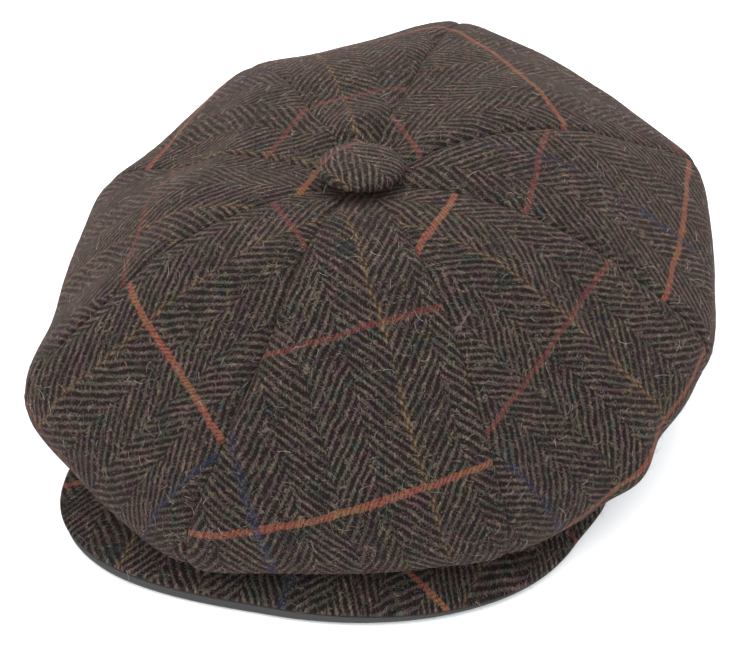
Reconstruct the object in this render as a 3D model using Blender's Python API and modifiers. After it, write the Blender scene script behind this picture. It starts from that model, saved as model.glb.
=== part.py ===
"""Eight-panel tweed cap: head band, soft crown, covered button and short peak.

Metres, +Z up, standing on its band. The peak points along -Y.
Left and right are the viewer's, looking at the peak.
A turn is an angle round the button seen from above, 0 straight ahead over
the peak and growing towards the viewer's right.
"""
import math
from collections import namedtuple

import bmesh
import bpy
from mathutils import Vector

# Driving sizes
HEAD_LENGTH = 0.200        # inside the band, front to back
HEAD_WIDTH = 0.162         # inside the band, side to side
BAND_HEIGHT = 0.034
CLOTH = 0.002              # thickness of the tweed
CROWN_HEIGHT = 0.105       # floor to the flat top round the button
CROWN_OVERHANG = 0.042     # how far the rim stands outside the band on average
CROWN_FORWARD = 0.013      # button axis ahead of the middle of the band
CROWN_SIDEWAYS = 0.005     # button axis to the right of the middle of the band
SEAM_VALLEY = 0.0035       # how far the panels puff up between their seams
RIM_ROLL = 0.022           # how deep the rim rolls under
UNDER_SAG = 0.011          # how far the underside hangs below the top of the band
TIP_RADIUS = 0.004         # where the panel tips end under the button
PEAK_REACH = 0.038         # how far the peak stands out ahead of the band
PEAK_FLARE = 0.017         # how far it stands out beside the band where it is widest
PEAK_SETBACK = 0.062       # front of the peak to its widest line
PEAK_END_WIDTH = 0.006     # width of its two ends, where they meet the band
PEAK_SIDEWAYS = -0.0035    # middle of the peak to the right of the middle of the band
PEAK_ROOT_HEIGHT = 0.015   # top of the peak where it meets the band
PEAK_EDGE_LIFT = 0.0015    # underside of the peak's edge over the floor
PEAK_ARCH = 0.0015         # how far the peak bulges between root and edge
UNDER_THICKNESS = 0.0024   # smooth lower layer of the peak
UNDER_LIP = 0.0012         # how far that layer shows past the tweed
BUTTON_DIAMETER = 0.032
BUTTON_RISE = 0.0085
BUTTON_SKIRT = 0.0025      # height of the button's turned-in edge
BUTTON_TILT = math.radians(7.0)
GAP = 0.0003               # clearance between pieces that touch

# Shape of the forms
CORNER_ROUNDING = 0.2      # 0 gives hard corners at the seams
CORNER_TIGHTNESS = 10      # higher keeps that rounding nearer to the corner
VALLEY_SHARPNESS = 3       # higher keeps the valley nearer to the seam
SHOULDER_PLACE = 0.7       # below 1 puts the shoulder of a seam nearer to the button
FOLD_FADE = 6              # higher lets the folds run nearer to the rim
UNDER_FULLNESS = 0.70      # 0 pulls the underside straight in to the band
PEAK_WIDEST = 0.78         # where the peak is widest, from 0 in its middle to 1 at its end
PEAK_HALF_TURN = math.radians(64.0)   # where the peak's ends meet the band
SMOOTH_ANGLE = math.radians(50.0)     # an edge that bends more than this stays crisp

# How fine the meshes are
PANEL_COLUMNS = 8
TOP_ROWS = 12
UNDER_ROWS = 6
PEAK_COLUMNS = 22
PEAK_ROWS = 4
BAND_COLUMNS = 56
BAND_ROWS = 2
BUTTON_STEPS = 28
DOME_STEPS = 7
PROFILE_STEP = 0.001       # step along the crown's outline that gives its slope
MERGE = 0.00001            # points closer than this become one

# One row for each seam, going round from the one left of the peak's middle.
# turn is its place at the rim and bend how far its middle swings from there,
# in degrees. overhang is a share of CROWN_OVERHANG. rim is the height of the
# widest point and shoulder a lift of the top, both as shares of the room
# between the peak and the top of the crown.
Seam = namedtuple("Seam", "turn bend overhang rim shoulder")
SEAMS = [
    Seam(-25, 4, 1.03, 0.21, 0.04),
    Seam(27, 0, 1.08, 0.25, 0.04),
    Seam(75, 0, 1.42, 0.49, 0.02),
    Seam(117, 0, 1.50, 0.54, 0.04),
    Seam(167, 0, 1.00, 0.61, -0.05),
    Seam(204, 0, 0.60, 0.47, -0.07),
    Seam(244, 0, 0.68, 0.38, -0.07),
    Seam(298, 0, 1.20, 0.38, 0.01),
]

# One row for each panel, the first one between the first two seams. straight is
# 1 where the rim runs straight from corner to corner and 0 where it is round.
# droop is how far the middle of the rim hangs, as a share of CROWN_HEIGHT.
Panel = namedtuple("Panel", "name straight droop")
PANELS = [
    Panel("crown_front", 0.80, 0.022),
    Panel("crown_front_right", 0.20, 0.050),
    Panel("crown_right", 0.45, 0.000),
    Panel("crown_back_right", 0.50, -0.030),
    Panel("crown_back", 1.00, 0.040),
    Panel("crown_back_left", 0.80, 0.000),
    Panel("crown_left", 0.80, 0.000),
    Panel("crown_front_left", 0.35, 0.030),
]

# The crown's outline from the button to the rim, at even steps. out is a share
# of the distance to the rim and rise a share of the height above it.
Outline = namedtuple("Outline", "out rise")
CROWN_OUTLINE = [
    Outline(0.00, 0.975),
    Outline(0.12, 0.995),
    Outline(0.25, 1.000),
    Outline(0.38, 0.985),
    Outline(0.50, 0.935),
    Outline(0.62, 0.820),
    Outline(0.73, 0.660),
    Outline(0.83, 0.490),
    Outline(0.92, 0.310),
    Outline(0.98, 0.150),
    Outline(1.00, 0.000),
]

# Soft folds and dents of the crown. turn and spread are in degrees, out and
# length are shares of the distance to the rim, lift is a share of CROWN_HEIGHT.
Fold = namedtuple("Fold", "turn out spread length lift")
FOLDS = [
    Fold(-25, 0.58, 16, 0.14, -0.050),
    Fold(186, 0.22, 26, 0.09, 0.050),
    Fold(136, 0.62, 12, 0.22, 0.025),
    Fold(48, 0.45, 14, 0.20, 0.015),
    Fold(244, 0.66, 16, 0.18, -0.070),
    Fold(270, 0.60, 14, 0.25, 0.015),
]

# The button's turned-in edge, from below its dome inwards. out is a share of
# its radius and rise a share of BUTTON_SKIRT.
ButtonEdge = namedtuple("ButtonEdge", "out rise")
BUTTON_EDGE = [
    ButtonEdge(0.97, 0.40),
    ButtonEdge(0.88, 0.00),
    ButtonEdge(0.00, 0.00),
]

Finish = namedtuple("Finish", "colour roughness")
FINISHES = {
    "tweed": Finish((0.130, 0.110, 0.090), 0.95),
    "peak_facing": Finish((0.150, 0.130, 0.115), 0.80),
}


def remove_everything():
    for scene_object in list(bpy.data.objects):
        bpy.data.objects.remove(scene_object, do_unlink=True)


def make_material(name):
    finish = FINISHES[name]
    material = bpy.data.materials.new(name)
    material.use_nodes = True
    shader = material.node_tree.nodes["Principled BSDF"]
    shader.inputs["Base Color"].default_value = (*finish.colour, 1.0)
    shader.inputs["Roughness"].default_value = finish.roughness
    shader.inputs["Metallic"].default_value = 0.0
    return material


def blend(first, second, share):
    return first + (second - first) * share


def ease(share):
    """The same share with a soft start and end."""
    return share * share * (3.0 - 2.0 * share)


def read_table(rows, column, share):
    """Value of a column at a share of the way down the rows, on a smooth curve."""
    place = min(max(share, 0.0), 1.0) * (len(rows) - 1)
    index = min(int(place), len(rows) - 2)
    step = place - index
    values = [getattr(row, column) for row in rows]
    start, end = values[index], values[index + 1]
    before = values[index - 1] if index > 0 else 2.0 * start - end
    after = values[index + 2] if index + 2 < len(values) else 2.0 * end - start
    slope_start = (end - before) / 2.0
    slope_end = (after - start) / 2.0
    squared, cubed = step ** 2, step ** 3
    return (
        start * (2.0 * cubed - 3.0 * squared + 1.0)
        + slope_start * (cubed - 2.0 * squared + step)
        + end * (3.0 * squared - 2.0 * cubed)
        + slope_end * (cubed - squared)
    )


def ahead(turn):
    """Unit vector in plan at this turn."""
    return Vector((math.sin(turn), -math.cos(turn), 0.0))


def band_reach(turn, inset):
    """Distance from the button's axis to the band's wall, inset from its outside."""
    half_width = HEAD_WIDTH / 2.0 + CLOTH - inset
    half_length = HEAD_LENGTH / 2.0 + CLOTH - inset
    heading = ahead(turn)
    square = (heading.x / half_width) ** 2 + (heading.y / half_length) ** 2
    cross = CROWN_SIDEWAYS * heading.x / half_width ** 2 - CROWN_FORWARD * heading.y / half_length ** 2
    rest = (CROWN_SIDEWAYS / half_width) ** 2 + (CROWN_FORWARD / half_length) ** 2 - 1.0
    return (-cross + math.sqrt(cross ** 2 - square * rest)) / square


def peak_edge_top():
    """Height of the tweed's top at the peak's edge."""
    return PEAK_EDGE_LIFT + UNDER_THICKNESS + GAP + CLOTH


def seam_pair(panel, out=1.0):
    """The seams on the two sides of a panel, and their turns in radians.

    out is how far from the button to the rim the turns are wanted.
    """
    first = SEAMS[panel]
    second = SEAMS[(panel + 1) % len(SEAMS)]
    swing = math.sin(math.pi * min(out, 1.0))
    start = math.radians(first.turn + first.bend * swing)
    end = math.radians(second.turn + second.bend * swing)
    if end < start:
        end += math.tau
    return first, second, start, end


def fold_lift(turn, out):
    """Sum of the soft folds and dents at a place on top of the crown."""
    lift = 0.0
    for fold in FOLDS:
        sideways = math.degrees(math.remainder(turn - math.radians(fold.turn), math.tau)) / fold.spread
        outwards = (out - fold.out) / fold.length
        lift += fold.lift * CROWN_HEIGHT * math.exp(-sideways ** 2 - outwards ** 2)
    return lift


def rim_of(panel, across):
    """Distance from the axis and height of the rim's widest point."""
    first, second, start, end = seam_pair(panel)
    turn = blend(start, end, across)
    side = 2.0 * across - 1.0
    corner = CORNER_ROUNDING * (1.0 - side ** CORNER_TIGHTNESS)
    slack = (1.0 - side ** 2 - corner) / (1.0 - CORNER_ROUNDING)
    flat = PANELS[panel].straight * (1.0 - math.cos((end - start) / 2.0)) * slack
    overhang = CROWN_OVERHANG * blend(first.overhang, second.overhang, across)
    rim = blend(first.rim, second.rim, ease(across))
    height = blend(peak_edge_top(), CROWN_HEIGHT, rim)
    height -= PANELS[panel].droop * CROWN_HEIGHT * slack
    return (band_reach(turn, 0.0) + overhang) * (1.0 - flat), height


def crown_outline(panel, across, along):
    """Distance from the axis and height of the cloth's outside.

    along runs 0 to 1 over the top to the rim, and 1 to 2 under it to the band.
    """
    first, second, start, end = seam_pair(panel)
    turn = blend(start, end, across)
    rim_out, rim_height = rim_of(panel, across)
    if along > 1.0:
        seat_out = band_reach(turn, 0.0)
        seat_height = BAND_HEIGHT + GAP
        return roll_under(rim_out, rim_height, seat_out, seat_height, along - 1.0)
    out = read_table(CROWN_OUTLINE, "out", along)
    rise = read_table(CROWN_OUTLINE, "rise", along)
    shoulder = blend(first.shoulder, second.shoulder, ease(across))
    shoulder *= math.sin(math.pi * out ** SHOULDER_PLACE) ** 2
    valley = SEAM_VALLEY * abs(2.0 * across - 1.0) ** VALLEY_SHARPNESS * math.sin(math.pi * out)
    height = blend(rim_height, CROWN_HEIGHT, rise) - valley
    height += shoulder * (CROWN_HEIGHT - peak_edge_top())
    height += fold_lift(turn, out) * (1.0 - out ** FOLD_FADE)
    return blend(TIP_RADIUS, rim_out, out), height


def roll_under(rim_out, rim_height, seat_out, seat_height, share):
    """Smooth curve from the rim, down and under, to the top of the band."""
    rest = 1.0 - share
    handles = (
        (rim_out, rim_height),
        (rim_out, rim_height - RIM_ROLL),
        (blend(seat_out, rim_out, UNDER_FULLNESS), seat_height - UNDER_SAG),
        (seat_out, seat_height),
    )
    weights = (rest ** 3, 3.0 * rest ** 2 * share, 3.0 * rest * share ** 2, share ** 3)
    out = sum(weight * handle[0] for weight, handle in zip(weights, handles))
    height = sum(weight * handle[1] for weight, handle in zip(weights, handles))
    return out, height


def crown_point(panel, across, along, depth):
    """A point of a crown panel, depth below its outside."""
    low = max(along - PROFILE_STEP, 0.0)
    high = min(along + PROFILE_STEP, 2.0)
    out_low, height_low = crown_outline(panel, across, low)
    out_high, height_high = crown_outline(panel, across, high)
    run = Vector((out_high - out_low, height_high - height_low)).normalized()
    out, height = crown_outline(panel, across, along)
    start, end = seam_pair(panel, read_table(CROWN_OUTLINE, "out", along))[2:]
    out += depth * run.y
    height -= depth * run.x
    clear = GAP / 2.0 / out
    turn = blend(start + clear, end - clear, across)
    centre = Vector((CROWN_SIDEWAYS, -CROWN_FORWARD, height))
    return centre + ahead(turn) * out


def band_point(across, along, depth):
    """A point of the band; across goes once round it, along goes down it."""
    turn = across * math.tau
    centre = Vector((CROWN_SIDEWAYS, -CROWN_FORWARD, BAND_HEIGHT * (1.0 - along)))
    return centre + ahead(turn) * band_reach(turn, depth)


def peak_root(side):
    """A point of the peak's root, against the band; side runs from -1 to 1."""
    turn = side * PEAK_HALF_TURN
    return Vector((
        (HEAD_WIDTH / 2.0 + CLOTH + GAP) * math.sin(turn),
        -(HEAD_LENGTH / 2.0 + CLOTH + GAP) * math.cos(turn),
        PEAK_ROOT_HEIGHT,
    ))


def peak_edge(side):
    """A point of the peak's edge: a wide front arc, and two short arcs back to the band."""
    share = abs(side)
    widest = HEAD_WIDTH / 2.0 + CLOTH + PEAK_FLARE
    front = HEAD_LENGTH / 2.0 + CLOTH + PEAK_REACH
    if share < PEAK_WIDEST:
        swing = math.radians(90.0) * share / PEAK_WIDEST
        out = widest * math.sin(swing)
        back = PEAK_SETBACK * (1.0 - math.cos(swing)) - front
    else:
        swing = math.radians(90.0) * (share - PEAK_WIDEST) / (1.0 - PEAK_WIDEST)
        end = peak_root(1.0) + ahead(PEAK_HALF_TURN) * PEAK_END_WIDTH
        out = blend(end.x, widest, math.cos(swing))
        back = blend(PEAK_SETBACK - front, end.y, math.sin(swing))
    out = math.copysign(out, side) + PEAK_SIDEWAYS * (1.0 - share ** 6)
    edge = Vector((out, back, PEAK_ROOT_HEIGHT))
    nearness = max(1.0 - (edge - peak_root(side)).length / PEAK_REACH, 0.0)
    edge.z -= (PEAK_ROOT_HEIGHT - peak_edge_top()) * (1.0 - nearness ** 2)
    return edge


def peak_point(across, along, lip, drop):
    """A point of the peak's top surface, or drop below it.

    across runs from its left end to its right end, along from the band to the
    edge. A lip carries it on outwards.
    """
    side = 2.0 * across - 1.0
    root = peak_root(side)
    edge = peak_edge(side)
    point = root.lerp(edge, along) + (edge - root).normalized() * lip
    point.z += PEAK_ARCH * math.sin(math.pi * along) - drop
    return point


def make_shell(name, columns, rows, place, thickness):
    """A sheet of cloth: a grid set out by place(across, along, depth), made thick."""
    mesh_tool = bmesh.new()
    bmesh.ops.create_grid(mesh_tool, x_segments=columns, y_segments=rows, size=0.5)
    shares = {vertex: (vertex.co.x + 0.5, vertex.co.y + 0.5) for vertex in mesh_tool.verts}
    faces = list(mesh_tool.faces)
    extruded = bmesh.ops.extrude_face_region(mesh_tool, geom=faces, use_keep_orig=True)["geom"]
    inner = [item for item in extruded if isinstance(item, bmesh.types.BMVert)]
    for vertex in inner:
        across, along = vertex.co.x + 0.5, vertex.co.y + 0.5
        vertex.co = place(across, along, thickness)
    for vertex, (across, along) in shares.items():
        vertex.co = place(across, along, 0.0)
    return finish_mesh(name, mesh_tool)


def finish_mesh(name, mesh_tool):
    """Turn a bmesh into an object whose faces point out."""
    bmesh.ops.remove_doubles(mesh_tool, verts=mesh_tool.verts, dist=MERGE)
    bmesh.ops.recalc_face_normals(mesh_tool, faces=mesh_tool.faces)
    mesh = bpy.data.meshes.new(name)
    mesh_tool.to_mesh(mesh)
    mesh_tool.free()
    mesh.shade_smooth()
    mesh.set_sharp_from_angle(angle=SMOOTH_ANGLE)
    return bpy.data.objects.new(name, mesh)


def make_panel(panel):
    """One gore of the crown, from the button over the rim to the band."""
    rows = TOP_ROWS + UNDER_ROWS

    def place(across, along, depth):
        row = along * rows
        if row <= TOP_ROWS:
            run = row / TOP_ROWS
        else:
            run = 1.0 + (row - TOP_ROWS) / UNDER_ROWS
        spread = 0.5 - 0.5 * math.cos(math.pi * across)
        return crown_point(panel, blend(across, spread, 0.5), run, depth)

    return make_shell(PANELS[panel].name, PANEL_COLUMNS, rows, place, CLOTH)


def make_band():
    """The oval wall round the head, closed where its ends meet."""
    mesh_tool = bmesh.new()
    bmesh.ops.create_grid(mesh_tool, x_segments=BAND_COLUMNS, y_segments=BAND_ROWS, size=0.5)
    for vertex in mesh_tool.verts:
        vertex.co = band_point(vertex.co.x + 0.5, vertex.co.y + 0.5, 0.0)
    bmesh.ops.remove_doubles(mesh_tool, verts=mesh_tool.verts, dist=MERGE)
    band = finish_mesh("band", mesh_tool)
    wall = band.modifiers.new("wall", "SOLIDIFY")
    wall.thickness = CLOTH
    wall.offset = -1.0
    return band


def make_peak():
    """The tweed cover of the peak."""

    def place(across, along, depth):
        return peak_point(across, along, 0.0, depth)

    return make_shell("peak", PEAK_COLUMNS, PEAK_ROWS, place, CLOTH)


def make_peak_under():
    """The smooth lower layer of the peak, which shows as a strip at its edge."""

    rows = PEAK_ROWS + 1

    def place(across, along, depth):
        row = round(along * rows)
        lip = UNDER_LIP if row == rows else 0.0
        return peak_point(across, min(row / PEAK_ROWS, 1.0), lip, CLOTH + GAP + depth)

    under = make_shell("peak_under", PEAK_COLUMNS, rows, place, UNDER_THICKNESS)
    rounding = under.modifiers.new("rounded edges", "BEVEL")
    rounding.width = min(UNDER_THICKNESS, UNDER_LIP) * 0.4
    rounding.segments = 1
    rounding.limit_method = "ANGLE"
    rounding.angle_limit = SMOOTH_ANGLE
    return under


def button_seat():
    """Height that clears every panel under the tilted button."""
    radius = BUTTON_DIAMETER / 2.0
    lift = 0.0
    for panel in range(len(PANELS)):
        for column in range(PANEL_COLUMNS + 1):
            for row in range(TOP_ROWS * 3 + 1):
                point = crown_point(panel, column / PANEL_COLUMNS, row / TOP_ROWS / 3.0, 0.0)
                back = point.y + CROWN_FORWARD
                if math.hypot(point.x - CROWN_SIDEWAYS, back) <= radius:
                    lift = max(lift, point.z + back * math.tan(BUTTON_TILT))
    return lift + GAP


def make_button():
    """Cloth-covered button: a low dome with a turned-in edge, a turned shape."""
    radius = BUTTON_DIAMETER / 2.0
    profile = []
    for step in range(DOME_STEPS + 1):
        angle = math.radians(90.0) * step / DOME_STEPS
        profile.append((radius * math.sin(angle), blend(BUTTON_SKIRT, BUTTON_RISE, math.cos(angle))))
    profile += [(radius * row.out, BUTTON_SKIRT * row.rise) for row in BUTTON_EDGE]
    mesh = bpy.data.meshes.new("button")
    points = [(out, 0.0, height) for out, height in profile]
    edges = [(index, index + 1) for index in range(len(points) - 1)]
    mesh.from_pydata(points, edges, [])
    button = bpy.data.objects.new("button", mesh)
    turning = button.modifiers.new("turned", "SCREW")
    turning.steps = BUTTON_STEPS
    turning.render_steps = BUTTON_STEPS
    turning.use_merge_vertices = True
    turning.merge_threshold = MERGE
    turning.use_smooth_shade = True
    button.location = (CROWN_SIDEWAYS, -CROWN_FORWARD, button_seat())
    button.rotation_euler = (-BUTTON_TILT, 0.0, 0.0)
    return button


def centre_on_floor(pieces):
    """Move the finished cap so that its box stands centred on the origin."""
    bpy.context.view_layer.update()
    corners = []
    for piece in pieces:
        corners += [piece.matrix_world @ Vector(corner) for corner in piece.bound_box]
    middle_x = (min(corner.x for corner in corners) + max(corner.x for corner in corners)) / 2.0
    middle_y = (min(corner.y for corner in corners) + max(corner.y for corner in corners)) / 2.0
    for piece in pieces:
        piece.location.x -= middle_x
        piece.location.y -= middle_y


def main():
    remove_everything()
    collection = bpy.data.collections.new("tweed_cap")
    bpy.context.scene.collection.children.link(collection)
    tweed = make_material("tweed")
    facing = make_material("peak_facing")
    cloth_pieces = [make_panel(panel) for panel in range(len(PANELS))]
    cloth_pieces += [make_band(), make_peak(), make_button()]
    under = make_peak_under()
    pieces = cloth_pieces + [under]
    for piece in pieces:
        collection.objects.link(piece)
        piece.data.materials.append(facing if piece is under else tweed)
    centre_on_floor(pieces)


main()
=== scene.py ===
import math

import bmesh
import bpy
import numpy as np
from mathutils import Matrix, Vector, noise


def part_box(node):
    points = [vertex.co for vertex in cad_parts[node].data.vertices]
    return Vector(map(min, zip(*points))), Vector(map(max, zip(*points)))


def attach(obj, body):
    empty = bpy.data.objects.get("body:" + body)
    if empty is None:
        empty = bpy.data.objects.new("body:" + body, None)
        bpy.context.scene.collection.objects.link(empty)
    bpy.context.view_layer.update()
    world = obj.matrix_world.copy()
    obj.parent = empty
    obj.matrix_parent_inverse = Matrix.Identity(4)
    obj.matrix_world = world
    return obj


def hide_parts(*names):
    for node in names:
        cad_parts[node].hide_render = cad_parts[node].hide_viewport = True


# Eight-panel tweed cap. Metres, +Z up, the peak points along -Y.
# Left and right are the viewer's, looking at the peak.
# A turn is an angle round the button seen from above: 0 is over the peak,
# and it grows towards the viewer's right.

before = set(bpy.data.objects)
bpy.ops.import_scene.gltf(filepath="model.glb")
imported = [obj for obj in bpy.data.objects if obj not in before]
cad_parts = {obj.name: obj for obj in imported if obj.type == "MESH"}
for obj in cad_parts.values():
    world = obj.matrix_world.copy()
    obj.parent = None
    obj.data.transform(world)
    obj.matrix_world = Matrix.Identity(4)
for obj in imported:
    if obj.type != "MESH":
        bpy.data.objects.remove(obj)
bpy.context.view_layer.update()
print("frame loaded:", len(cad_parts), "solids")

bandLow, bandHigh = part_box("band")
bandMiddle = (np.array(bandLow) + np.array(bandHigh)) / 2.0

# The sizes below repeat the part's own, so every piece lies on its solid.
head = {
    "length": 0.200,          # inside the band, front to back
    "width": 0.162,           # inside the band, side to side
    "bandHeight": 0.034,
    "cloth": 0.002,           # thickness of the tweed
    "gap": 0.0003,            # clearance between pieces that touch
}

crown = {
    "height": 0.105,
    "overhang": 0.042,
    "forward": 0.013,         # button axis ahead of the band's middle
    "sideways": 0.005,        # and to the right of it
    "seamValley": 0.0035,
    "rimRoll": 0.019,
    "underSag": 0.011,
    "underFullness": 0.70,
    "tipRadius": 0.004,
    "cornerRounding": 0.2,
    "cornerTightness": 10,
    "valleySharpness": 3,
    "shoulderPlace": 0.7,
    "foldFade": 6,
    "profileStep": 0.001,
    "seatHeight": 0.0343,     # where the cloth meets the top of the band
    "restHeight": 0.0062,     # top of the peak at its edge, the lowest the rim can go
    # turn, bend, overhang, rim, shoulder of each seam
    "seams": np.array([
        (-25, 4, 1.03, 0.225, 0.04),
        (27, 0, 1.08, 0.280, 0.04),
        (75, 0, 1.42, 0.49, 0.02),
        (117, 0, 1.50, 0.525, 0.04),
        (167, 0, 1.00, 0.595, -0.05),
        (204, 0, 0.60, 0.47, -0.07),
        (244, 0, 0.68, 0.38, -0.07),
        (298, 0, 1.20, 0.38, 0.01),
    ]),
    # out and rise of the crown's outline, button to rim, at even steps
    "outline": np.array([
        (0.00, 0.975), (0.12, 0.995), (0.25, 1.000), (0.38, 0.985), (0.50, 0.935), (0.62, 0.820),
        (0.73, 0.660), (0.83, 0.490), (0.92, 0.310), (0.98, 0.150), (1.00, 0.000),
    ]),
    # turn, out, spread, length, lift of the soft folds and dents
    "folds": [
        (-25, 0.58, 16, 0.14, -0.050),
        (186, 0.22, 26, 0.09, 0.050),
        (136, 0.62, 12, 0.22, 0.025),
        (48, 0.45, 14, 0.20, 0.015),
        (244, 0.66, 16, 0.18, -0.070),
        (270, 0.60, 14, 0.25, 0.015),
        (238, 0.75, 13, 0.20, -0.028),
    ],
    # turn, spread, shift of the small dents and bulges of the rim
    "rimDents": [
        (73, 4, -0.0012), (60.5, 3.5, -0.0008), (53, 4.5, 0.0044), (230, 18, -0.0060), (285, 9, -0.0028),
    ],
    # how deep each seam lies: the cloth is eased flat over some of them
    "seamDepths": np.array([1.25, 0.50, 0.60, 0.95, 0.75, 0.35, 0.30, 0.65]),
    # what this script adds to the solids' form
    "columns": 72,
    "columnCrowding": 0.8,    # how closely the columns crowd at the seams, from 0 to 1
    "topRows": 96,
    "underRows": 36,
    "seamOverlap": 0.00004,   # neighbouring panels meet with no slit between them
    "valleyStart": 0.60,      # the valleys fade out nearer to the button than this
    "valleyShare": 0.75,      # of the solids' valleys that is left after pressing
    "buttonDip": 0.0012,      # the button pulls the cloth down round it
    "buttonStart": 0.10,
    "buttonReach": 0.12,
    "seamEnds": 0.1,          # along a panel, where its seam detail fades in and out
    "creaseDepth": 0.0010,    # the cloth turns in sharply at a seam
    "creaseLeast": 0.55,      # the share of that which a flat seam keeps
    "creaseWidth": 0.0007,
    "rollDepth": 0.0006,      # and bends softly towards it
    "rollWidth": 0.0035,
    "wideEnough": 0.045,      # a panel narrower than this bends less at its seams
    "puckerHeight": 0.00045,
    "puckerLength": 0.011,
    "puckerReach": 0.0045,
    "waveHeight": 0.0013,
    "waveLength": 0.046,
    "rippleHeight": 0.00045,
    "rippleLength": 0.019,
    "waveFromButton": 0.25,   # along a panel, where its waves fade in and out
    "waveFromBand": 0.3,
}

# straight and droop shape each panel's rim. The rest says how its cloth was laid
# when it was cut: grain is the angle of the warp off the panel's middle line, and
# shiftU and shiftV move the pattern along the weft and the warp.
panels = [
    {"node": "crown_front", "straight": 0.80, "droop": 0.004,
     "grain": -16.5, "shiftU": 0.0116, "shiftV": 0.1207, "slack": (0.0055, 0.128), "bow": 0.0070},
    {"node": "crown_front_right", "straight": 0.20, "droop": 0.050,
     "grain": -18.0, "shiftU": 0.0245, "shiftV": 0.0895, "slack": (0.0055, 0.128), "bow": -0.0042,
     "gather": (-0.0060, 0.0)},
    {"node": "crown_right", "straight": 0.45, "droop": 0.000,
     "grain": 12.0, "shiftU": 0.0417, "shiftV": 0.0002},
    {"node": "crown_back_right", "straight": 0.50, "droop": -0.030,
     "grain": 25.5, "shiftU": 0.0658, "shiftV": 0.0389},
    {"node": "crown_back", "straight": 1.00, "droop": 0.040,
     "grain": -6.5, "shiftU": 0.0000, "shiftV": 0.0066},
    {"node": "crown_back_left", "straight": 0.80, "droop": 0.000,
     "grain": -19.0, "shiftU": 0.0000, "shiftV": 0.0232},
    {"node": "crown_left", "straight": 0.80, "droop": 0.000,
     "grain": 5.0, "shiftU": 0.1020, "shiftV": 0.1079},
    {"node": "crown_front_left", "straight": 0.35, "droop": 0.030,
     "grain": 19.0, "shiftU": 0.1041, "shiftV": 0.0272, "gather": (0.0, 0.0080)},
]

# the cut of a panel whose row doesn't say otherwise
plainCut = {
    "slack": (0.0, 0.1),      # how far pressing pushed the cloth to the rim, over what length
    "bow": 0.0,               # how far its middle is stretched out at the rim
    "gather": (0.0, 0.0),     # how far it is drawn along the weft at its two seams
}


def blend(first, second, share):
    return first + (second - first) * share


def ease(share):
    return share * share * (3.0 - 2.0 * share)


def easeFrom(value, start, length):
    # eases from 0 at the start to 1 a length further on
    return ease(np.clip((value - start) / length, 0.0, 1.0))


def swell(value, start, length):
    # rises from 0 at the start to 1 and falls back to 0 over a length
    return np.sin(np.pi * np.clip((value - start) / length, 0.0, 1.0))


def turnAway(turn, middle, spread):
    # how many spreads, in degrees, a turn lies from a middle one
    return np.degrees(np.angle(np.exp(1j * (turn - math.radians(middle))))) / spread


def lengthOf(vectors):
    return np.sqrt((vectors ** 2).sum(-1))


def unit(vectors):
    return vectors / np.maximum(lengthOf(vectors), 1e-12)[..., None]


def readTable(column, share):
    # value at a share of the way down a column of even steps, on a smooth curve
    place = np.clip(share, 0.0, 1.0) * (len(column) - 1)
    index = np.minimum(place.astype(int), len(column) - 2)
    step = place - index
    longer = np.concatenate(([2.0 * column[0] - column[1]], column, [2.0 * column[-1] - column[-2]]))
    before, start, end, after = (longer[index + k] for k in range(4))
    slopeStart, slopeEnd = (end - before) / 2.0, (after - start) / 2.0
    squared, cubed = step ** 2, step ** 3
    return (
        start * (2.0 * cubed - 3.0 * squared + 1.0) + slopeStart * (cubed - 2.0 * squared + step)
        + end * (3.0 * squared - 2.0 * cubed) + slopeEnd * (cubed - squared)
    )


def ahead(turn):
    return np.stack((np.sin(turn), -np.cos(turn), np.zeros_like(turn)), -1)


# half the width and half the length of the band, over its outside
halfWidth, halfLength = (head[side] / 2.0 + head["cloth"] for side in ("width", "length"))


def bandReach(turn, inset=0.0):
    # distance from the button's axis to the band's wall
    wide, deep = halfWidth - inset, halfLength - inset
    x, y = np.sin(turn), -np.cos(turn)
    square = (x / wide) ** 2 + (y / deep) ** 2
    cross = crown["sideways"] * x / wide ** 2 - crown["forward"] * y / deep ** 2
    rest = (crown["sideways"] / wide) ** 2 + (crown["forward"] / deep) ** 2 - 1.0
    return (-cross + np.sqrt(cross ** 2 - square * rest)) / square


def seamPair(panel, out):
    # the two seams beside a panel, and their turns at a share out of the way to the rim
    seams = crown["seams"]
    first, second = seams[panel], seams[(panel + 1) % len(seams)]
    swing = np.sin(np.pi * np.minimum(out, 1.0))
    start = np.radians(first[0] + first[1] * swing)
    end = np.radians(second[0] + second[1] * swing)
    return first, second, start, np.where(end < start, end + math.tau, end)


def foldLift(turn, out):
    lift = 0.0
    for foldTurn, foldOut, spread, length, height in crown["folds"]:
        away = turnAway(turn, foldTurn, spread)
        lift = lift + height * crown["height"] * np.exp(-away ** 2 - ((out - foldOut) / length) ** 2)
    return lift


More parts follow.
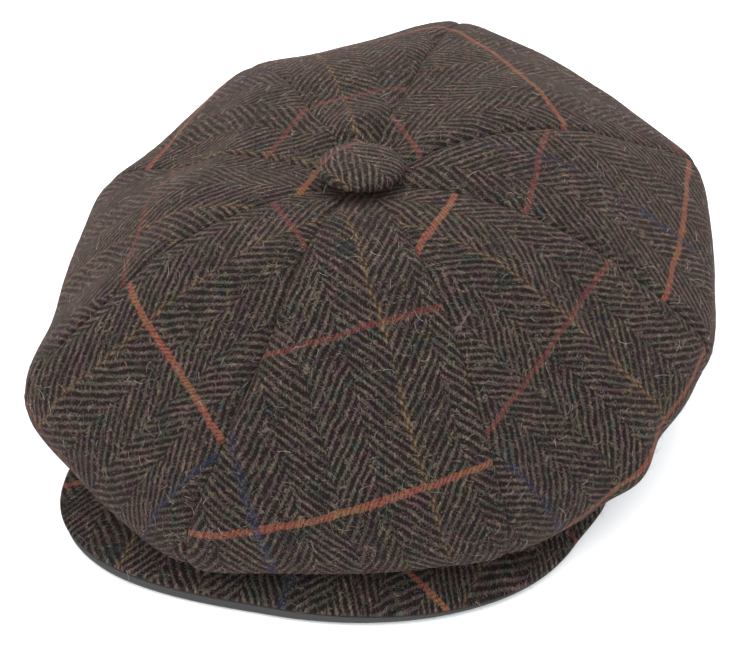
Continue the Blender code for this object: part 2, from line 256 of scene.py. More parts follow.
def crownOutline(panel, across, along):
    # distance from the axis and height of the cloth's outside: along runs 0 to 1
    # over the top to the rim, and 1 to 2 under it to the band
    first, second, start, end = seamPair(panel, np.ones_like(across))
    turn = blend(start, end, across)
    side = 2.0 * across - 1.0
    corner = crown["cornerRounding"] * (1.0 - side ** crown["cornerTightness"])
    slack = (1.0 - side ** 2 - corner) / (1.0 - crown["cornerRounding"])
    flat = panels[panel]["straight"] * (1.0 - np.cos((end - start) / 2.0)) * slack
    rimHeight = blend(crown["restHeight"], crown["height"], blend(first[3], second[3], ease(across)))
    rimHeight = rimHeight - panels[panel]["droop"] * crown["height"] * slack
    seatOut = bandReach(turn)
    rimOut = (seatOut + crown["overhang"] * blend(first[2], second[2], across)) * (1.0 - flat)
    for dentTurn, spread, shift in crown["rimDents"]:
        rimOut = rimOut + shift * np.exp(-turnAway(turn, dentTurn, spread) ** 2)

    share = np.clip(along - 1.0, 0.0, 1.0)
    rest = 1.0 - share
    weights = (rest ** 3, 3.0 * rest ** 2 * share, 3.0 * rest * share ** 2, share ** 3)
    seat = crown["seatHeight"]
    outs = (rimOut, rimOut, blend(seatOut, rimOut, crown["underFullness"]), seatOut)
    heights = (rimHeight, rimHeight - crown["rimRoll"], seat - crown["underSag"], seat)
    underOut = sum(weight * value for weight, value in zip(weights, outs))
    underHeight = sum(weight * value for weight, value in zip(weights, heights))

    out = readTable(crown["outline"][:, 0], along)
    rise = readTable(crown["outline"][:, 1], along)
    shoulder = np.sin(np.pi * np.maximum(out, 0.0) ** crown["shoulderPlace"]) ** 2
    shoulder = blend(first[4], second[4], ease(across)) * shoulder
    valley = crown["seamValley"] * np.abs(side) ** crown["valleySharpness"] * np.sin(np.pi * out)
    depths = crown["seamDepths"]
    depth = blend(depths[panel], depths[(panel + 1) % len(depths)], ease(across))
    valley = valley * crown["valleyShare"] * depth * easeFrom(out, 0.0, crown["valleyStart"])
    topHeight = blend(rimHeight, crown["height"], rise) - valley
    topHeight = topHeight + shoulder * (crown["height"] - crown["restHeight"])
    fromButton = easeFrom(out, crown["buttonStart"], crown["buttonReach"])
    topHeight = topHeight - crown["buttonDip"] * (1.0 - fromButton)
    topHeight = topHeight + foldLift(turn, out) * (1.0 - out ** crown["foldFade"])
    topOut = blend(crown["tipRadius"], rimOut, out)
    return np.where(along > 1.0, underOut, topOut), np.where(along > 1.0, underHeight, topHeight)


def axisPoint(height):
    # a point of the button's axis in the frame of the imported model
    x = np.full_like(height, bandMiddle[0] + crown["sideways"])
    y = np.full_like(height, bandMiddle[1] - crown["forward"])
    return np.stack((x, y, height), -1)


def crownSurface(panel, across, along):
    # points of the outside, and the direction straight out of the cloth
    step = crown["profileStep"]
    lowOut, lowHeight = crownOutline(panel, across, np.maximum(along - step, 0.0))
    highOut, highHeight = crownOutline(panel, across, np.minimum(along + step, 2.0))
    run = unit(np.stack((highOut - lowOut, highHeight - lowHeight), -1))
    out, height = crownOutline(panel, across, along)
    start, end = seamPair(panel, readTable(crown["outline"][:, 0], along))[2:]
    overlap = crown["seamOverlap"] / out
    turn = blend(start - overlap, end + overlap, across)
    outwards = ahead(turn) * -run[..., 1:2]
    outwards[..., 2] = run[..., 0]
    return axisPoint(height) + ahead(turn) * out[..., None], outwards


def noiseAt(points, size, seed):
    # smooth noise from -1 to 1 with bumps about one size wide
    shift = Vector((seed * 17.3, seed * 5.1, seed * 9.7))
    flat = (points / size).reshape(-1, points.shape[-1])
    values = [noise.noise(Vector(point) + shift) for point in flat.tolist()]
    return np.array(values).reshape(points.shape[:-1])


def runLengths(points, axis):
    # length along the grid's lines from their first point
    steps = lengthOf(np.diff(points, axis=axis))
    zero = np.zeros_like(np.take(steps, [0], axis=axis))
    return np.concatenate((zero, np.cumsum(steps, axis=axis)), axis=axis)


def seamDetail(points, panel):
    # how far the cloth lies below or above the plain form near its two seams
    lengths = runLengths(points, 1)
    fromSeam = (lengths, lengths[:, -1:] - lengths)
    lift = np.zeros(points.shape[:2])
    downSeam = runLengths(points, 0)
    wide = np.clip(lengths[:, -1:] / crown["wideEnough"], 0.0, 1.0)
    for side, distance in enumerate(fromSeam):
        seam = (panel + side) % len(panels)
        edge = downSeam[:, [0 if side == 0 else -1]]
        place = np.stack((edge, np.full_like(edge, seam * 3.0 + side), np.zeros_like(edge)), -1)
        pucker = noiseAt(place, crown["puckerLength"], 3)
        reach = distance / crown["puckerReach"]
        depth = crown["seamDepths"][seam]
        crease = blend(crown["creaseLeast"], 1.0, depth) * np.exp(-distance / crown["creaseWidth"])
        lift -= crown["creaseDepth"] * crease
        lift -= crown["rollDepth"] * depth * wide * np.exp(-(distance / crown["rollWidth"]) ** 2)
        lift += crown["puckerHeight"] * wide * pucker * reach * np.exp(1.0 - reach)
    return lift


def gridFaces(rows, columns, first=0):
    # corners of the quads of a grid of points, row by row
    index = first + np.arange(rows * columns).reshape(rows, columns)
    return np.stack((index[:-1, :-1], index[1:, :-1], index[1:, 1:], index[:-1, 1:]), -1).reshape(-1, 4)


def shellFaces(rows, columns):
    # quads of a closed shell: an outer grid, an inner grid and the walls round them
    outer = gridFaces(rows, columns)
    inner = gridFaces(rows, columns, rows * columns)[:, ::-1]
    index = np.arange(rows * columns).reshape(rows, columns)
    loop = np.concatenate((index[0, :-1], index[:-1, -1], index[-1, :0:-1], index[:0:-1, 0]))
    following = np.roll(loop, -1)
    walls = np.stack((loop, following, following + rows * columns, loop + rows * columns), -1)
    return np.concatenate((outer, inner, walls)).tolist()


# laying the cloth flat goes from a coarse grid to the full one
flattening = {
    "firstRounds": 900,
    "laterRounds": 140,
    "pace": 0.3,
}


def flattenCloth(points, middle):
    # lays a curved grid flat, keeping the lengths of its lines and diagonals
    rows, columns = points.shape[:2]
    steps = [size for size in (8, 4, 2, 1) if (rows - 1) % size == 0 and (columns - 1) % size == 0]
    flat = None
    for step in steps:
        coarse = points[::step, ::step]
        if flat is None:
            down = runLengths(coarse, 0)[:, middle // step]
            across = runLengths(coarse, 1)
            across = across - across[:, [middle // step]]
            flat = np.stack((across, np.broadcast_to(down[:, None], across.shape)), -1)
        else:
            flat = doubleGrid(flat)
        flat = relax(flat, coarse, flattening["firstRounds" if step == steps[0] else "laterRounds"])
    return flat


def doubleGrid(values):
    rows, columns = values.shape[:2]
    finer = np.zeros((rows * 2 - 1, columns * 2 - 1, values.shape[2]))
    finer[::2, ::2] = values
    finer[1::2, ::2] = (values[:-1] + values[1:]) / 2.0
    finer[:, 1::2] = (finer[:, :-1:2] + finer[:, 2::2]) / 2.0
    return finer


def relax(flat, solid, rounds):
    whole = slice(None)
    pairs = [
        ((slice(None, -1), whole), (slice(1, None), whole)),
        ((whole, slice(None, -1)), (whole, slice(1, None))),
        ((slice(None, -1), slice(None, -1)), (slice(1, None), slice(1, None))),
        ((slice(None, -1), slice(1, None)), (slice(1, None), slice(None, -1))),
    ]
    lengths = [lengthOf(solid[end] - solid[start]) for start, end in pairs]
    for _ in range(rounds):
        move = np.zeros_like(flat)
        for (start, end), length in zip(pairs, lengths):
            gap = flat[end] - flat[start]
            push = gap * (0.5 - 0.5 * length / np.maximum(lengthOf(gap), 1e-9))[..., None]
            move[start] += push
            move[end] -= push
        flat = flat + move * flattening["pace"]
    return flat


def sweepFaces(columns, ring, closed):
    # quads of rings of points joined one to the next, with a cap on each end if open
    index = np.arange(columns * ring).reshape(columns, ring)
    following = np.roll(index, -1, axis=0) if closed else index[1:]
    start = index if closed else index[:-1]
    quads = np.stack((start, np.roll(start, -1, 1), np.roll(following, -1, 1), following), -1)
    faces = quads.reshape(-1, 4).tolist()
    if not closed:
        faces += [index[0].tolist(), index[-1, ::-1].tolist()]
    return faces


def layOut(flat, grain, shiftU, shiftV):
    # turns the flat cloth to its grain: u runs along the weft, v along the warp
    turn = math.radians(grain)
    across, down = flat[..., 0], flat[..., 1]
    u = across * math.cos(turn) + down * math.sin(turn) + shiftU
    v = down * math.cos(turn) - across * math.sin(turn) + shiftV
    return np.stack((u, v), -1)


def addObject(name, data):
    thing = bpy.data.objects.new(name, data)
    bpy.context.scene.collection.objects.link(thing)
    return thing


sharpAngle = math.radians(60.0)    # edges sharper than this aren't smoothed over


def makeMesh(name, points, faces, cloth, material):
    # a smooth mesh whose UV map holds its cloth coordinates in metres
    mesh = bpy.data.meshes.new(name)
    mesh.from_pydata(points.reshape(-1, 3).tolist(), [], faces)
    mesh.validate()
    tool = bmesh.new()
    tool.from_mesh(mesh)
    bmesh.ops.recalc_face_normals(tool, faces=tool.faces)
    tool.to_mesh(mesh)
    tool.free()
    layer = mesh.uv_layers.new(name="cloth")
    corners = np.zeros(len(mesh.loops), int)
    mesh.loops.foreach_get("vertex_index", corners)
    layer.data.foreach_set("uv", cloth.reshape(-1, 2)[corners].ravel())
    mesh.shade_smooth()
    mesh.set_sharp_from_angle(angle=sharpAngle)
    mesh.materials.append(material)
    return addObject(name, mesh)


def addPiece(piece, node):
    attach(piece, "root")
    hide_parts(node)


# Materials

# Noise scales are in bumps to the metre. A grain is such a pair, along u and v.
tweed = {
    "columnWidth": 0.0155,    # one stripe of the herringbone
    "twillDown": 0.0045,      # from one twill line to the next along the warp
    "twillAcross": 0.0035,    # and along the weft
    "twillSoftness": 0.40,    # 0 steps from yarn to yarn, 1 runs straight
    "yarn": 0.000875,
    "pick": 0.001125,
    "wander": ((28.0, 0.0034), (120.0, 0.0020), (420.0, 0.0006)),    # scale and reach
    "raggedGrain": (1500.0, 800.0),
    "raggedness": 0.30,
    "thicknessScale": 260.0,
    "thicknessSpread": 0.26,
    "floatEdge": (0.30, 0.10),
    # heather colours
    "toneGrain": (3.7, 160.0),    # from yarn to yarn, and along each
    "patchNoise": (125.0, 3.0, 0.65),    # scale, detail, roughness
    "shadeNoise": (70.0, 4.0, 0.65),
    "warpColours": (
        (0.28, (0.045, 0.022, 0.022)), (0.36, (0.027, 0.026, 0.033)), (0.44, (0.041, 0.032, 0.031)),
        (0.52, (0.034, 0.032, 0.025)), (0.60, (0.052, 0.043, 0.040)), (0.70, (0.080, 0.061, 0.045)),
    ),
    "weftColours": (
        (0.30, (0.0065, 0.0084, 0.0120)), (0.42, (0.0104, 0.0076, 0.0066)), (0.52, (0.0124, 0.0092, 0.0082)),
        (0.62, (0.0150, 0.0086, 0.0098)), (0.72, (0.0122, 0.0120, 0.0078)),
    ),
    "patchTints": (
        (0.32, (0.58, 0.92, 1.08)), (0.40, (0.82, 1.02, 0.84)), (0.49, (1.04, 0.99, 0.97)),
        (0.58, (1.08, 0.92, 0.98)), (0.68, (1.14, 0.76, 1.00)),
    ),
    "patchShades": ((0.36, (0.62, 0.63, 0.70)), (0.64, (1.38, 1.36, 1.28))),
    "fleckColours": (
        (0.32, (0.020, 0.045, 0.060)), (0.40, (0.045, 0.062, 0.028)), (0.49, (0.120, 0.090, 0.052)),
        (0.57, (0.090, 0.036, 0.030)), (0.66, (0.050, 0.036, 0.060)),
    ),
    "fleckGrain": (620.0, 420.0),
    "fleckEdge": (0.62, 0.69),
    "fleckStrength": 0.8,
    # lines of the check
    "checkSize": 0.062,       # from one coloured line to the next
    "orange": (0.208, 0.054, 0.034),
    "amber": (0.200, 0.082, 0.036),    # what the orange turns to in places
    "red": (0.096, 0.022, 0.025),
    "rust": (0.125, 0.040, 0.028),     # and the red
    "mustard": (0.110, 0.068, 0.034),
    "blue": (0.016, 0.021, 0.040),
    "orangeWidth": 0.0025,
    "redWidth": 0.0022,
    "mustardWidth": 0.0020,
    "blueWidth": 0.0034,
    "turnScale": 48.0,
    "turnEdge": (0.44, 0.60),
    "lineRaggedness": 0.0024,
    "lineSoftness": 0.25,
    "lineBeads": (0.12, 0.30, 0.45, 1.0),    # dips where it passes under the warp
    "lineOnWeft": 0.90,
    "lineOnWarp": 0.54,
    "mustardOnWeft": 0.30,
    "blueOnWeft": 0.70,
    "breakGrain": (300.0, 200.0),
    "breakEdge": (0.40, 0.56),
    "breakFloor": 0.42,       # what is left of a mustard or blue line where it breaks
    "breakRise": 0.50,
    "faintScale": 42.0,
    "faintEdge": (0.40, 0.58, 0.35, 1.0),
    # loose fibres that lie on the cloth
    "strand": (0.132, 0.103, 0.074),
    "strandNoise": ((330.0, 0.016, 1.0), (560.0, 0.022, 2.0), (240.0, 0.012, 3.0)),    # scale, width, layer
    "strandCore": 0.3,        # the share of that width that is solid
    "strandPatchScale": 0.7,
    "strandPatches": (0.48, 0.59),
    "strandStrength": 0.52,
    "strandHeight": 0.4,
    # relief and finish
    "fibreGrain": (2400.0, 1000.0),
    "fibreShade": (1.90, 0.05),
    "fibreHeight": 0.45,
    "weftHeight": 0.40,
    "warpHeight": (0.55, 0.45),
    # painted shade: the colour darkens where the relief is low, at the yarns' sides and on the sunken weft
    "reliefPaintedShade": (0.55, 0.60),
    "bumpHeight": 0.00040,
    "bumpStrength": 0.8,
    "roughness": 0.95,
    "specular": 0.08,
    "sheen": 0.055,
    "sheenRoughness": 0.5,
    "sheenTint": (1.0, 0.60, 0.50),
}


def isSocket(value):
    return isinstance(value, bpy.types.NodeSocket)


def fill(node, values):
    # values for a node's sockets, by name or number: plain ones, or other nodes' sockets to join
    for socket, value in values.items():
        if isSocket(value):
            node.id_data.links.new(value, node.inputs[socket])
        else:
            node.inputs[socket].default_value = value


def addNode(kind, values, **settings):
    # a node in the tree of the sockets that are joined to it
    tree = next(value.id_data for value in values.values() if isSocket(value))
    node = tree.nodes.new("ShaderNode" + kind)
    for name, setting in settings.items():
        setattr(node, name, setting)
    fill(node, values)
    return node.outputs


def calc(operation, *values):
    return addNode("Math", dict(enumerate(values)), operation=operation)[0]


def mixColour(share, *colours, kind="MIX"):
    first, second = (colour if isSocket(colour) else (*colour, 1.0) for colour in colours)
    return addNode("Mix", {0: share, 6: first, 7: second}, data_type="RGBA", blend_type=kind)[2]


def mixNumber(share, first, second):
    return addNode("Mix", {0: share, 2: first, 3: second})[0]


def noiseValue(place, scale=1.0, detail=2.0, roughness=0.5):
    values = {"Vector": place, "Scale": scale, "Detail": detail, "Roughness": roughness}
    return addNode("TexNoise", values)[0]


def smoothRange(value, low, high, toLow=0.0, toHigh=1.0):
    values = {"Value": value, "From Min": low, "From Max": high, "To Min": toLow, "To Max": toHigh}
    return addNode("MapRange", values, interpolation_type="SMOOTHSTEP")[0]


def colourRamp(value, stops):
    node = value.id_data.nodes.new("ShaderNodeValToRGB")
    elements = node.color_ramp.elements
    while len(elements) < len(stops):
        elements.new(0.5)
    for element, (place, colour) in zip(elements, stops):
        element.position = place
        element.color = (*colour, 1.0)
    fill(node, {0: value})
    return node.outputs[0]


def combine(x, y, layer=0.0):
    # the same place has other noise in another layer
    return addNode("CombineXYZ", {0: x, 1: y, 2: layer})[0]


def stretched(u, v, grain, layer=0.0):
    # a place on the cloth, stretched so that noise runs along the yarns
    return combine(calc("MULTIPLY", u, grain[0]), calc("MULTIPLY", v, grain[1]), layer)


def spread(value, width):
    # a noise value turned into a shift to both sides
    return calc("MULTIPLY_ADD", value, width, -0.5 * width)


def fromMiddle(share):
    return calc("ABSOLUTE", calc("SUBTRACT", share, 0.5))


def yarnNumber(place, width):
    return calc("FLOOR", calc("DIVIDE", place, width))


def yarnRound(place, width):
    # the round back of each yarn: 0 at its sides, 1 along its middle
    aside = fromMiddle(calc("FRACT", calc("DIVIDE", place, width)))
    return calc("MULTIPLY_ADD", calc("MULTIPLY", aside, aside), -4.0, 1.0)


def lineMask(place, width, odd):
    # 1 on every second line of the check, counted from an even or an odd one
    size = tweed["checkSize"]
    repeats = calc("MULTIPLY_ADD", place, 0.5 / size, 0.5 - 0.5 * odd)
    edge, soft = width * 0.25 / size, tweed["lineSoftness"]
    return smoothRange(fromMiddle(calc("FRACT", repeats)), edge * (1.0 + soft), edge * (1.0 - soft))


def wanderingPlace(place):
    # the yarns of a soft cloth don't run quite straight
    u, v = addNode("SeparateXYZ", {0: place})[:2]
    for scale, reach in tweed["wander"]:
        colour = addNode("TexNoise", {"Vector": place, "Scale": scale, "Detail": 1.0})["Color"]
        aside, along = addNode("SeparateColor", {0: colour})[:2]
        u = calc("ADD", u, spread(aside, reach))
        v = calc("ADD", v, spread(along, reach))
    return u, v


def warpOnTop(place, u, v, ragged):
    # 1 where a warp yarn lies over the weft, in twill lines that turn at each column
    column = tweed["columnWidth"]
    yarnMiddle = calc("ADD", yarnNumber(u, tweed["yarn"]), 0.5)
    stepped = calc("PINGPONG", calc("MULTIPLY", yarnMiddle, tweed["yarn"]), column)
    zigzag = mixNumber(tweed["twillSoftness"], stepped, calc("PINGPONG", u, column))
    zigzag = calc("MULTIPLY", zigzag, 1.0 / tweed["twillAcross"])
    phase = calc("MULTIPLY_ADD", v, 1.0 / tweed["twillDown"], zigzag)
    odd = calc("FLOORED_MODULO", yarnNumber(u, column), 2.0)
    phase = calc("FRACT", calc("MULTIPLY_ADD", odd, 0.5, phase))
    fromFloat = calc("ADD", fromMiddle(phase), spread(ragged, tweed["raggedness"]))
    thickness = noiseValue(place, tweed["thicknessScale"])
    fromFloat = calc("ADD", fromFloat, spread(thickness, tweed["thicknessSpread"]))
    return smoothRange(fromFloat, *tweed["floatEdge"])


def heatherColours(place, u, v):
    # colours of the light warp and the dark weft: along each yarn, in patches and in flecks
    apart, along = tweed["toneGrain"]
    alongWarp = stretched(yarnNumber(u, tweed["yarn"]), v, (apart, along))
    alongWeft = stretched(u, yarnNumber(v, tweed["pick"]), (along, apart), layer=5.0)
    patches = noiseValue(place, *tweed["patchNoise"])
    shades = noiseValue(combine(v, u, layer=3.0), *tweed["shadeNoise"])
    tint = colourRamp(patches, tweed["patchTints"])
    shade = colourRamp(shades, tweed["patchShades"])
    warp = colourRamp(noiseValue(alongWarp), tweed["warpColours"])
    for tone in (tint, shade):
        warp = mixColour(1.0, warp, tone, kind="MULTIPLY")
    weft = colourRamp(noiseValue(alongWeft), tweed["weftColours"])
    weft = mixColour(1.0, weft, tint, kind="MULTIPLY")
    flecks = noiseValue(stretched(u, v, tweed["fleckGrain"]), detail=1.0)
    flecks = calc("MULTIPLY", smoothRange(flecks, *tweed["fleckEdge"]), tweed["fleckStrength"])
    return mixColour(flecks, warp, colourRamp(shades, tweed["fleckColours"])), weft


def checkLines(place, u, v, ragged, warp, weft):
    # orange and red lines in the weft, and broken mustard and blue ones in the warp
    shift = spread(ragged, tweed["lineRaggedness"])
    uLine, vLine = calc("ADD", u, shift), calc("ADD", v, shift)
    beads = calc("DIVIDE", u, tweed["yarn"] * 2.0)
    beads = calc("MULTIPLY_ADD", calc("DIVIDE", v, tweed["pick"]), 0.5, beads)
    beads = smoothRange(fromMiddle(calc("FRACT", beads)), *tweed["lineBeads"])
    turned = smoothRange(noiseValue(place, tweed["turnScale"]), *tweed["turnEdge"])
    for name, turnsTo, odd in (("orange", "amber", 0), ("red", "rust", 1)):
        mask = calc("MULTIPLY", lineMask(vLine, tweed[name + "Width"], odd), beads)
        colour = mixColour(turned, tweed[name], tweed[turnsTo])
        weft = mixColour(calc("MULTIPLY", mask, tweed["lineOnWeft"]), weft, colour)
        warp = mixColour(calc("MULTIPLY", mask, tweed["lineOnWarp"]), warp, colour)
    breaks = noiseValue(stretched(u, v, tweed["breakGrain"]), detail=1.0)
    breaks = smoothRange(breaks, *tweed["breakEdge"])
    breaks = calc("MULTIPLY_ADD", breaks, tweed["breakRise"], tweed["breakFloor"])
    faint = smoothRange(noiseValue(place, tweed["faintScale"], 1.0), *tweed["faintEdge"])
    broken = calc("MULTIPLY", faint, breaks)
    for name, odd in (("mustard", 0), ("blue", 1)):
        mask = calc("MULTIPLY", lineMask(uLine, tweed[name + "Width"], odd), broken)
        warp = mixColour(mask, warp, tweed[name])
        weft = mixColour(calc("MULTIPLY", mask, tweed[name + "OnWeft"]), weft, tweed[name])
    return warp, weft


def looseStrands(u, v):
    # fine curled fibres that lie on the cloth: thin ridges of noise, kept in patches
    strands = None
    for scale, width, layer in tweed["strandNoise"]:
        field = noiseValue(combine(u, v, layer), scale, 1.0)
        ridge = smoothRange(fromMiddle(field), width, width * tweed["strandCore"])
        patches = noiseValue(combine(v, u, layer + 4.0), scale * tweed["strandPatchScale"], 1.0)
        strand = calc("MULTIPLY", ridge, smoothRange(patches, *tweed["strandPatches"]))
        strands = strand if strands is None else calc("MAXIMUM", strands, strand)
    return strands


def tweedGroup():
    # colour and height of the herringbone at a place of the cloth in metres; the colour carries painted
    # shade where the relief is low
    tree = bpy.data.node_groups.new("herringbone tweed", "ShaderNodeTree")
    sockets = (
        ("Cloth", "INPUT", "NodeSocketVector"), ("Lightness", "INPUT", "NodeSocketFloat"),
        ("Colour", "OUTPUT", "NodeSocketColor"), ("Height", "OUTPUT", "NodeSocketFloat"),
    )
    for name, direction, kind in sockets:
        tree.interface.new_socket(name, in_out=direction, socket_type=kind)
    place, lightness = tree.nodes.new("NodeGroupInput").outputs[:2]
    result = tree.nodes.new("NodeGroupOutput")

    u, v = wanderingPlace(place)
    ragged = noiseValue(stretched(u, v, tweed["raggedGrain"]))
    onTop = warpOnTop(place, u, v, ragged)
    warp, weft = heatherColours(place, u, v)
    warp, weft = checkLines(place, u, v, ragged, warp, weft)
    strands = looseStrands(u, v)
    fibre = noiseValue(stretched(u, v, tweed["fibreGrain"]), roughness=0.6)

    weftHeight = calc("MULTIPLY", yarnRound(v, tweed["pick"]), tweed["weftHeight"])
    warpHeight = calc("MULTIPLY_ADD", yarnRound(u, tweed["yarn"]), *tweed["warpHeight"])
    relief = mixNumber(onTop, weftHeight, warpHeight)
    # painted shade from the relief, times the fibres' random tone; the Lightness input also makes the
    # painted-lighter copies
    shade = calc("MULTIPLY_ADD", relief, *tweed["reliefPaintedShade"])
    shade = calc("MULTIPLY", calc("MULTIPLY_ADD", fibre, *tweed["fibreShade"]), shade)
    threads = {0: mixColour(onTop, weft, warp), "Scale": calc("MULTIPLY", shade, lightness)}
    shaded = addNode("VectorMath", threads, operation="SCALE")[0]
    strandShare = calc("MULTIPLY", strands, tweed["strandStrength"])
    colour = mixColour(strandShare, shaded, tweed["strand"])
    height = calc("MULTIPLY_ADD", strands, tweed["strandHeight"], relief)
    height = calc("MULTIPLY_ADD", fibre, tweed["fibreHeight"], height)
    fill(result, {0: colour, 1: calc("MULTIPLY", height, tweed["bumpHeight"])})
    return tree


def newMaterial(name):
    material = bpy.data.materials.new(name)
    material.use_nodes = True
    return material, material.node_tree.nodes["Principled BSDF"]


def bumpNormal(height, strength, distance):
    return addNode("Bump", {"Strength": strength, "Distance": distance, "Height": height})[0]


def tweedMaterial(name, group, lightness):
    material, shader = newMaterial(name)
    cloth = material.node_tree.nodes.new("ShaderNodeUVMap")
    cloth.uv_map = "cloth"
    weave = addNode("Group", {"Cloth": cloth.outputs[0], "Lightness": lightness}, node_tree=group)
    fill(shader, {
        "Base Color": weave["Colour"],
        "Normal": bumpNormal(weave["Height"], tweed["bumpStrength"], 1.0),
        "Roughness": tweed["roughness"],
        "Specular IOR Level": tweed["specular"],
        "Sheen Weight": tweed["sheen"],
        "Sheen Roughness": tweed["sheenRoughness"],
        "Sheen Tint": (*tweed["sheenTint"], 1.0),
    })
    return material


facing = {
    "colour": (0.021, 0.0195, 0.019),
    "darkest": 0.80,          # shares of the colour between which it varies
    "lightest": 1.18,
    "mottleNoise": (60.0, 3.0, 0.6),
    "grainNoise": (1500.0, 3.0, 0.6),
    "grainStrength": 0.25,
    "grainHeight": 0.0001,
    "bumpStrength": 0.5,
    "roughness": 0.62,
}


def facingMaterial():
    material, shader = newMaterial("peak facing")
    place = material.node_tree.nodes.new("ShaderNodeTexCoord").outputs["Object"]
    grain = noiseValue(place, *facing["grainNoise"])
    mottle = noiseValue(place, *facing["mottleNoise"])
    low, high = ([part * facing[share] for part in facing["colour"]] for share in ("darkest", "lightest"))
    colour = mixColour(mottle, low, high)
    colour = mixColour(calc("MULTIPLY", grain, facing["grainStrength"]), colour, low)
    normal = bumpNormal(grain, facing["bumpStrength"], facing["grainHeight"])
    fill(shader, {"Base Color": colour, "Normal": normal, "Roughness": facing["roughness"]})
    return material


weaveGroup = tweedGroup()
tweedCloth = tweedMaterial("herringbone tweed", weaveGroup, lightness=0.96)
# the button's copy of the same tweed is painted lighter: painted light for the light that falls on its top
buttonClothPaintedLighter = tweedMaterial("button tweed painted lighter", weaveGroup, lightness=1.25)
# the peak's copy of the same tweed is painted lighter: painted light for the light that falls on the peak
peakTweedPaintedLighter = tweedMaterial("peak tweed painted lighter", weaveGroup, lightness=1.15)
facingCloth = facingMaterial()
print("materials ready")


# Crown

def panelGrid():
    # shares across a panel, close together near its seams, and places along it
    even = np.linspace(0.0, 1.0, crown["columns"] + 1)
    across = blend(even, 0.5 - 0.5 * np.cos(np.pi * even), crown["columnCrowding"])
    top = np.linspace(0.0, 1.0, crown["topRows"] + 1)
    under = np.linspace(1.0, 2.0, crown["underRows"] + 1)[1:]
    return np.meshgrid(across, np.concatenate((top, under)))


def panelCloth(outside, across, along, row):
    # where each point of the panel lies on the cloth that it was cut from
    cut = {**plainCut, **row}
    flat = flattenCloth(outside, crown["columns"] // 2)
    cloth = layOut(flat, cut["grain"], cut["shiftU"], cut["shiftV"])
    slack, reach = cut["slack"]
    outer = np.clip(along, 0.0, 1.0)
    cloth[..., 1] -= slack * np.sin(np.pi * flat[..., 1] / reach)
    cloth[..., 1] -= cut["bow"] * 4.0 * across * (1.0 - across) * outer ** 3
    side = 2.0 * across - 1.0
    first, second = cut["gather"]
    drawn = first * easeFrom(-side, 0.0, 1.0) + second * easeFrom(side, 0.0, 1.0)
    cloth[..., 0] += drawn * ease(outer)
    return cloth.reshape(-1, 2)


def makePanel(panel):
    across, along = panelGrid()
    points, outwards = crownSurface(panel, across, along)
    ends, waveIn, waveOut = crown["seamEnds"], crown["waveFromButton"], crown["waveFromBand"]
    lift = seamDetail(points, panel) * easeFrom(2.0 - along, 0.0, ends) * easeFrom(along, 0.0, ends)
    fade = easeFrom(along, 0.0, waveIn) * easeFrom(2.0 - along, 0.0, waveOut)
    lift += crown["waveHeight"] * noiseAt(points, crown["waveLength"], 1) * fade
    lift += crown["rippleHeight"] * noiseAt(points, crown["rippleLength"], 2) * fade
    outside = points + outwards * lift[..., None]
    inside = outside - outwards * head["cloth"]
    row = panels[panel]
    cloth = panelCloth(outside, across, along, row)
    walls = np.concatenate((outside.reshape(-1, 3), inside.reshape(-1, 3)))
    faces = shellFaces(*across.shape)
    piece = makeMesh(row["node"] + "_cloth", walls, faces, np.concatenate((cloth, cloth)), tweedCloth)
    addPiece(piece, row["node"])
    return outside


surfaces = [makePanel(panel) for panel in range(len(panels))]
print("crown ready:", len(surfaces), "panels")


# Head band

band = {
    "columns": 300,
    "rows": 22,
    "edgeRounding": 0.0009,
    "waveHeight": 0.0005,
    "waveLength": 0.030,
    "seamTurn": 180.0,        # where its ends meet, at the back
    "seamDepth": 0.0007,
    "seamWidth": 0.0012,
    "shiftU": 0.010,
    "shiftV": 0.048,
}


def makeBand():
    turn = np.linspace(0.0, math.tau, band["columns"], endpoint=False)
    rounding, thickness, top = band["edgeRounding"], head["cloth"], head["bandHeight"]
    down = np.linspace(rounding, top - rounding, band["rows"])
    # inset and height of the wall's section: down the outside, up the inside
    outside = [(0.0, top - place) for place in down]
    bend = np.linspace(0.0, math.pi / 2.0, 4)
    arc = [(rounding * (1.0 - math.cos(a)), rounding * (1.0 - math.sin(a))) for a in bend[1:]]
    lower = arc + [(thickness - height, inset) for inset, height in arc[::-1]]
    inside = [(thickness, place) for place in down]
    upper = [(inset, top - height) for inset, height in lower[::-1]]
    section = np.array(outside + lower + inside + upper)
    turns, insets = np.meshgrid(turn, section[:, 0], indexing="ij")
    heights = np.broadcast_to(section[:, 1], turns.shape)
    points = axisPoint(heights) + ahead(turns) * bandReach(turns, insets)[..., None]
    fade = np.sin(np.pi * heights / top)
    lift = band["waveHeight"] * noiseAt(points, band["waveLength"], 5) * fade
    fromSeam = (turns - math.radians(band["seamTurn"])) * head["length"] / 2.0
    lift -= band["seamDepth"] * np.exp(-(fromSeam / band["seamWidth"]) ** 2) * (insets < rounding)
    points = points + ahead(turns) * lift[..., None]
    around = np.broadcast_to(runLengths(points[:, :1], 0), turns.shape)
    cloth = np.stack((around + band["shiftU"], band["shiftV"] - heights), -1)
    piece = makeMesh("band_cloth", points, sweepFaces(*turns.shape, True), cloth, tweedCloth)
    addPiece(piece, "band")
    ring = points[:, :band["rows"]].transpose(1, 0, 2)
    return np.concatenate((ring, ring[:, :1]), 1)


# Peak

